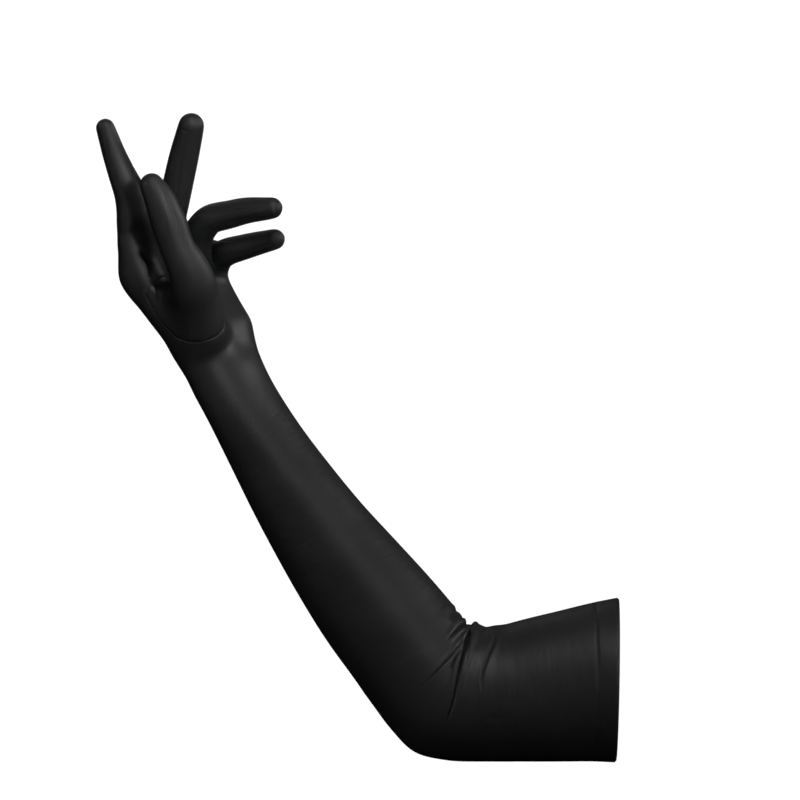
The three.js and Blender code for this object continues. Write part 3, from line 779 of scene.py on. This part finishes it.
def free_sides(quads):
    """The sides that belong to one quad only, each with its quad and its place in it."""
    sides = {}
    for face, quad in enumerate(quads.tolist()):
        for k, pair in enumerate(zip(quad, quad[1:] + quad[:1])):
            back = (pair[1], pair[0])
            if back in sides:
                del sides[back]
            else:
                sides[pair] = (face, k)
    return sides


def rim_outward(outer, quads, sides, place_of):
    """For each point of the rim, the way out of the cloth's edge."""
    outward = np.zeros((len(place_of), 3))
    for pair, (face, _) in sides.items():
        away = outer[list(pair)].mean(axis=0) - outer[quads[face]].mean(axis=0)
        for point in pair:
            outward[place_of[point]] += away
    return outward / np.maximum(np.linalg.norm(outward, axis=1), 1e-9)[:, None]


def wall(name, surface, piece, normals, proud, thick):
    """A piece as a closed shell: outer cloth, inner cloth and a rounded edge between them."""
    mine = np.flatnonzero(surface.owner == piece)
    used, quads = np.unique(surface.quads[mine], return_inverse=True)
    quads = quads.reshape(-1, 4)
    outer = surface.places[used] + normals[used] * proud
    inner = outer - normals[used] * thick
    sides = free_sides(quads)
    rim = sorted({point for pair in sides for point in pair})
    place_of = {point: i for i, point in enumerate(rim)}
    bulge = HEM_BULGE if piece == HEM else EDGE_BULGE
    middle = (outer[rim] + inner[rim]) / 2 + rim_outward(outer, quads, sides, place_of) * bulge
    count = len(used)
    faces = [tuple(q) for q in quads.tolist()]
    faces += [tuple(count + corner for corner in reversed(q)) for q in quads.tolist()]
    uvs = [tuple(corner) for face in surface.measure[mine] for corner in face]
    uvs += [tuple(corner) for face in surface.measure[mine] for corner in face[::-1]]
    for (a, b), (face, k) in sides.items():
        at_a = tuple(surface.measure[mine[face], k])
        at_b = tuple(surface.measure[mine[face], (k + 1) % 4])
        mid_a, mid_b = 2 * count + place_of[a], 2 * count + place_of[b]
        faces.append((b, a, mid_a, mid_b))
        faces.append((mid_b, mid_a, count + a, count + b))
        uvs += [at_b, at_a, at_a, at_b, at_b, at_a, at_a, at_b]
    places = np.concatenate([outer, inner, middle]) * MM
    shell = new_piece(name, places.tolist(), faces)
    layer = shell.data.uv_layers.new(name="cloth")
    layer.data.foreach_set("uv", (np.array(uvs, float) * MM).ravel())
    shell.data.validate()
    return shell


def stitch_row(name, line, normals, stitch):
    """Short stitches along a line that lies on the cloth."""
    distances = distances_along(line)
    starts = np.arange(stitch.pitch / 2, distances[-1] - stitch.length / 2, stitch.pitch)
    profile = table("share size", (-0.5, 0.35), (-0.3, 0.9), (0, 1), (0.3, 0.9), (0.5, 0.35))
    places, faces = [], []

    def at(distance, values):
        return np.stack([np.interp(distance, distances, values[:, k]) for k in range(3)], axis=-1)

    for middle in starts:
        up = unit(at(middle, normals))
        forward = unit(at(middle + stitch.length / 2, line) - at(middle - stitch.length / 2, line))
        side = np.cross(up, forward)
        first = len(places)
        for ring in profile:
            centre = at(middle + ring.share * stitch.length, line) + up * STITCH_LIFT
            for turn in range(THREAD_SIDES):
                across, over = turned(turn * 2 * math.pi / THREAD_SIDES)
                places.append((centre + stitch.radius * ring.size * (side * across + up * over)) * MM)
        for low in range(first, first + THREAD_SIDES * (len(profile) - 1), THREAD_SIDES):
            for turn in range(THREAD_SIDES):
                a, b = low + turn, low + (turn + 1) % THREAD_SIDES
                faces.append((a, b, b + THREAD_SIDES, a + THREAD_SIDES))
        faces.append(tuple(range(first + THREAD_SIDES - 1, first - 1, -1)))
        faces.append(tuple(range(len(places) - THREAD_SIDES, len(places))))
    return new_piece(name, [tuple(p) for p in places], faces)


class Nodes:
    """Adds shader nodes by name and joins them."""

    def __init__(self, material):
        material.use_nodes = True
        self.tree = material.node_tree
        self.shader = self.tree.nodes["Principled BSDF"]

    def add(self, kind, inputs=(), **settings):
        node = self.tree.nodes.new(kind)
        for name, value in settings.items():
            setattr(node, name, value)
        for socket, value in dict(inputs).items():
            if isinstance(value, bpy.types.NodeSocket):
                self.tree.links.new(value, node.inputs[socket])
            else:
                node.inputs[socket].default_value = value
        return node

    def join(self, source, socket):
        self.tree.links.new(source, self.shader.inputs[socket])


def hatch(nodes, cloth, turn, scale):
    """Fine lines across the cloth, at a turn."""
    placed = nodes.add(
        "ShaderNodeMapping", {"Vector": cloth, "Scale": (1000, 1000, 1), "Rotation": (0, 0, turn)}
    )
    lines = {"Scale": scale, "Distortion": 1.2, "Detail": 1.0, "Detail Scale": 0.4}
    return nodes.add("ShaderNodeTexWave", {"Vector": placed.outputs[0], **lines}).outputs["Fac"]


def blotches(nodes, cloth, scale, detail, roughness, distortion=0.0):
    """Soft noise, with its own scale round the cloth and along it."""
    placed = nodes.add("ShaderNodeMapping", {"Vector": cloth, "Scale": (*scale, 1)})
    noise = {"Scale": 1.0, "Detail": detail, "Roughness": roughness, "Distortion": distortion}
    return nodes.add("ShaderNodeTexNoise", {"Vector": placed.outputs[0], **noise}).outputs["Fac"]


def bump(nodes, height, strength, distance, normal=None):
    values = {"Height": height, "Strength": strength, "Distance": distance}
    if normal:
        values["Normal"] = normal
    return nodes.add("ShaderNodeBump", values).outputs["Normal"]


def satin(name):
    """Black stretch satin: a fine hatch, small cross wrinkles and a soft broad sheen."""
    material = bpy.data.materials.new(name)
    nodes = Nodes(material)
    cloth = nodes.add("ShaderNodeUVMap", uv_map="cloth").outputs["UV"]
    crossed = {0: hatch(nodes, cloth, 0.6, 0.34), 1: hatch(nodes, cloth, -0.5, 0.3)}
    knit = nodes.add("ShaderNodeMath", crossed, operation="MULTIPLY").outputs[0]
    wrinkles = blotches(nodes, cloth, (60, 330), detail=3.0, roughness=0.55, distortion=0.4)
    patches = blotches(nodes, cloth, (22, 30), detail=2.0, roughness=0.5)
    normal = bump(nodes, knit, 0.08, 0.0002)
    normal = bump(nodes, wrinkles, 0.36, 0.0005, normal)
    normal = bump(nodes, patches, 0.4, 0.003, normal)
    nodes.join(normal, "Normal")
    colour = nodes.add("ShaderNodeValToRGB", {"Fac": patches})
    colour.color_ramp.elements[0].position = 0.3
    colour.color_ramp.elements[0].color = (0.0040, 0.0040, 0.0042, 1)
    colour.color_ramp.elements[1].position = 0.75
    colour.color_ramp.elements[1].color = (0.0052, 0.0052, 0.0054, 1)
    nodes.join(colour.outputs["Color"], "Base Color")
    gloss = nodes.add("ShaderNodeMapRange", {"Value": patches, "To Min": 0.42, "To Max": 0.54})
    nodes.join(gloss.outputs["Result"], "Roughness")
    nodes.shader.inputs["Specular IOR Level"].default_value = 0.06
    return material


def thread(name):
    """Twisted black sewing thread."""
    material = bpy.data.materials.new(name)
    nodes = Nodes(material)
    place = nodes.add("ShaderNodeTexCoord").outputs["Object"]
    twist = nodes.add("ShaderNodeTexWave", {"Vector": place, "Scale": 220.0, "Distortion": 2.0})
    nodes.join(bump(nodes, twist.outputs["Fac"], 0.5, 0.0001), "Normal")
    colour = nodes.add("ShaderNodeValToRGB", {"Fac": twist.outputs["Fac"]})
    colour.color_ramp.elements[0].color = (0.0015, 0.0015, 0.0017, 1)
    colour.color_ramp.elements[1].color = (0.004, 0.004, 0.0044, 1)
    nodes.join(colour.outputs["Color"], "Base Color")
    nodes.shader.inputs["Roughness"].default_value = 0.6
    nodes.shader.inputs["Specular IOR Level"].default_value = 0.05
    return material


def glowing(name, low, high):
    """An evenly lit pale surface, between two shades of grey."""
    material = bpy.data.materials.new(name)
    nodes = Nodes(material)
    place = nodes.add("ShaderNodeTexCoord").outputs["Object"]
    grain = nodes.add("ShaderNodeTexNoise", {"Vector": place, "Scale": 3.0, "Detail": 2.0})
    colour = nodes.add("ShaderNodeValToRGB", {"Fac": grain.outputs["Fac"]})
    colour.color_ramp.elements[0].color = (low, low, low, 1)
    colour.color_ramp.elements[1].color = (high, high, high, 1)
    nodes.join(colour.outputs["Color"], "Emission Color")
    nodes.shader.inputs["Base Color"].default_value = (0, 0, 0, 1)
    nodes.shader.inputs["Specular IOR Level"].default_value = 0
    nodes.shader.inputs["Emission Strength"].default_value = 1.0
    return material


def side_seam():
    """The sleeve's seam, from under the upper arm and the elbow's point to the little finger's side."""
    section, length = sleeve_sections()
    line = []
    for along in np.arange(0, length, SIDE_SEAM_STEP):
        share = smooth_step(SIDE_SEAM.turns_from, length, along)
        turn = SIDE_SEAM.elbow_turn + (SIDE_SEAM.wrist_turn - SIDE_SEAM.elbow_turn) * share
        line.append(section(along)[0](math.radians(turn)))
    return line


def make_surface():
    """The whole cloth as one smooth surface."""
    cloth = Cloth()
    limbs = [finger_limb(finger) for finger in FINGERS]
    wrist = build_sleeve(cloth)
    rings, webs = build_palm(cloth, wrist, limbs)
    for i, limb in enumerate(limbs):
        build_finger(cloth, i, limb, rings[-1], webs)
    build_thumb(cloth, rings)
    control = relax(cloth, palm_forms(limbs))
    smoothed = subdivided(control, cloth, 1).places[:len(control)]
    shift = control - smoothed
    size = np.linalg.norm(shift, axis=1)[:, None]
    control = control + shift * np.minimum(1, LARGEST_SHIFT / np.maximum(size, 1e-9))
    smooth = subdivided(control, cloth, SUBDIVISIONS)
    smooth.side_seam = np.array(side_seam() + [control[ring.corners[ULNAR_EDGE]] for ring in rings])
    return smooth


def seam_lines(surface, piece):
    return walk(edges_between(surface, piece))


def make_glove():
    surface = make_surface()
    crease(surface)
    hem_line = seam_lines(surface, HEM)[0]
    thumb_line = seam_lines(surface, THUMB_PIECE)[0]
    strip_lines = [line for piece in STRIP_PIECES for line in seam_lines(surface, piece)]
    groove(surface, surface.places[hem_line], SEAMS["hem"])
    groove(surface, surface.side_seam, SEAMS["side"])
    groove(surface, surface.places[thumb_line], SEAMS["thumb"])
    for line in strip_lines:
        groove(surface, surface.places[line], SEAMS["strip"])
    normals = normals_of(surface.places, surface.quads)
    rows = {
        piece: stitch_row(f"{name}_stitches", surface.places[line], normals[line], STITCHES[name])
        for piece, name, line in ((HEM, "hem", hem_line), (THUMB_PIECE, "thumb", thumb_line))
    }
    cloth = satin("satin")
    for number, flat in enumerate(FLATS):
        proud, thick = (CLOTH + HEM_PROUD, HEM_THICK) if number == HEM else (CLOTH, CLOTH)
        shell = wall(f"cloth_{flat.piece}", surface, number, normals, proud, thick)
        shell.data.materials.append(cloth)
        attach(shell, "root")
        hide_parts(flat.piece)
    sewing = thread("thread")
    for row in rows.values():
        row.data.materials.append(sewing)
        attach(row, "root")


def make_stage(name, profile, low_shade, high_shade):
    """A round surface of evenly lit grey, turned from a profile of radii and heights."""
    sides = 48
    turns = [turned(2 * math.pi * k / sides) for k in range(sides)]
    places = [(radius * x, radius * y, z) for radius, z in profile for x, y in turns]
    faces = []
    for first in range(0, sides * (len(profile) - 1), sides):
        for k in range(sides):
            a, b = first + k, first + (k + 1) % sides
            faces.append((a, b, b + sides, a + sides))
    mesh = bpy.data.meshes.new(name)
    mesh.from_pydata(places, [], faces)
    mesh.materials.append(glowing(name, low_shade, high_shade))
    stage = bpy.data.objects.new(name, mesh)
    bpy.context.scene.collection.objects.link(stage)
    stage.visible_glossy = False
    stage.visible_diffuse = False
    stage.visible_shadow = False


def make_backdrop():
    """A pale round floor below the object, and a white dome over it."""
    low, radius = -1.2, 9.0
    floor_rings, dome_rings = 4, 12
    floor = [(radius * i / floor_rings, low) for i in range(floor_rings + 1)]
    dome = []
    for i in range(dome_rings + 1):
        across, up = turned(math.pi / 2 * i / dome_rings)
        dome.append((radius * across, low + radius * up))
    make_stage("floor", floor, 0.80, 0.84)
    make_stage("dome", dome, 1.02, 1.06)


def aim(obj, target):
    way = np.array(target) - np.array(obj.location)
    flat = math.hypot(way[0], way[1])
    obj.rotation_euler = (math.pi / 2 + math.atan2(way[2], flat), 0, math.atan2(-way[0], way[1]))


def make_camera():
    distance, view_width = 4.5, 0.4706
    camera = bpy.data.objects.new("camera", bpy.data.cameras.new("camera"))
    bpy.context.scene.collection.objects.link(camera)
    camera.location = (MIDDLE[0], -distance, MIDDLE[2])
    camera.rotation_euler = (math.pi / 2, 0, 0)
    camera.data.sensor_width = 36
    camera.data.lens = 36 * distance / view_width
    bpy.context.scene.camera = camera


def make_lights():
    """Soft lights from the right and from above, weak ones elsewhere, and a dim even surround."""
    lights = table(
        "name place target size spread energy",
        ("key", (1.7, -0.5, 1.0), MIDDLE, 1.0, 30, 1.0),
        ("side", (1.8, 0.2, 0.8), MIDDLE, 1.0, 30, 3.5),
        ("top_front", (0.1, -1.5, 1.95), MIDDLE, 1.0, 30, 5.6),
        ("front", (1.3, -2.8, 0.7), MIDDLE, 0.6, 30, 1.4),
        ("hand", (1.0, -2.5, 0.6), (-0.285, 0.0, 0.3), 0.2, 5, 0.33),
        ("left", (-1.8, -0.9, 0.5), MIDDLE, 1.0, 30, 1.4),
        ("back", (-0.9, 1.6, 1.7), MIDDLE, 1.2, 30, 0.3),
    )
    for light in lights:
        lamp = bpy.data.lights.new(light.name, "AREA")
        lamp.size = light.size
        lamp.spread = math.radians(light.spread)
        lamp.energy = light.energy
        placed = bpy.data.objects.new(light.name, lamp)
        placed.location = light.place
        bpy.context.scene.collection.objects.link(placed)
        aim(placed, light.target)
    world = bpy.data.worlds.new("surround")
    world.use_nodes = True
    world.node_tree.nodes["Background"].inputs["Color"].default_value = (1, 1, 1, 1)
    world.node_tree.nodes["Background"].inputs["Strength"].default_value = 0.32
    world.cycles_visibility.glossy = False
    bpy.context.scene.world = world


make_camera()
make_lights()
make_backdrop()
make_glove()
bpy.context.scene.view_settings.view_transform = "Standard"
